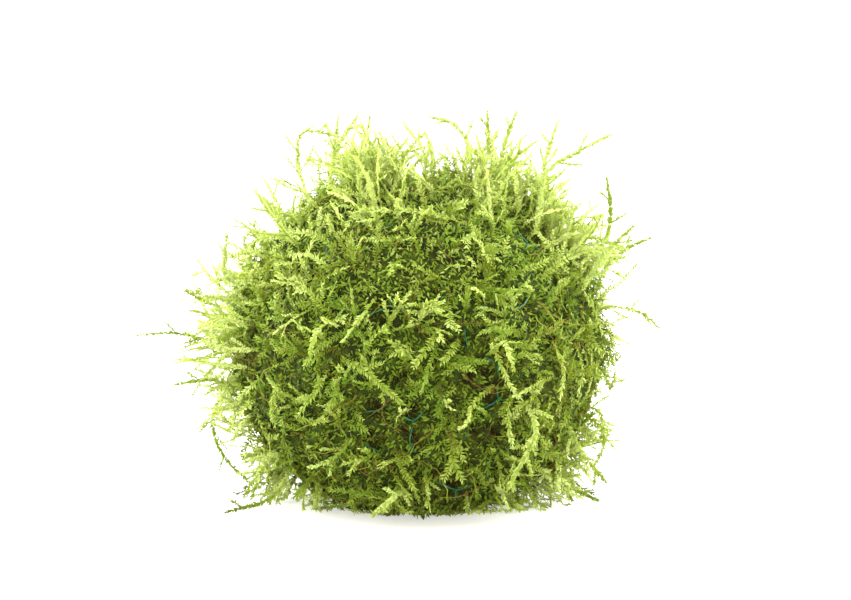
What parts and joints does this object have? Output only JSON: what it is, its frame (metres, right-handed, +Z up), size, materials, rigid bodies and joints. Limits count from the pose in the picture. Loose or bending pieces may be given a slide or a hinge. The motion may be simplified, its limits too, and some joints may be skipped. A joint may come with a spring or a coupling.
{
  "type": "java moss ball",
  "caption": "Ball of tangled java moss with long stray sprigs, held together by a soft green net and resting on a small flat spot.",
  "frame": {"origin": "the middle of the flat spot underneath, on the surface that the ball rests on", "axes": "+Z up; the front faces -Y, with +X to its right"},
  "size_m": [0.089, 0.0766, 0.0672],
  "materials": {
    "moss": "fresh, wet green leaves, yellower at the tips, with brown old stems in the gaps",
    "net": "soft synthetic thread, teal green, slightly glossy"
  },
  "bodies": {
    "root": {"moss": "moss", "net": "net"}
  },
  "joints": []
}
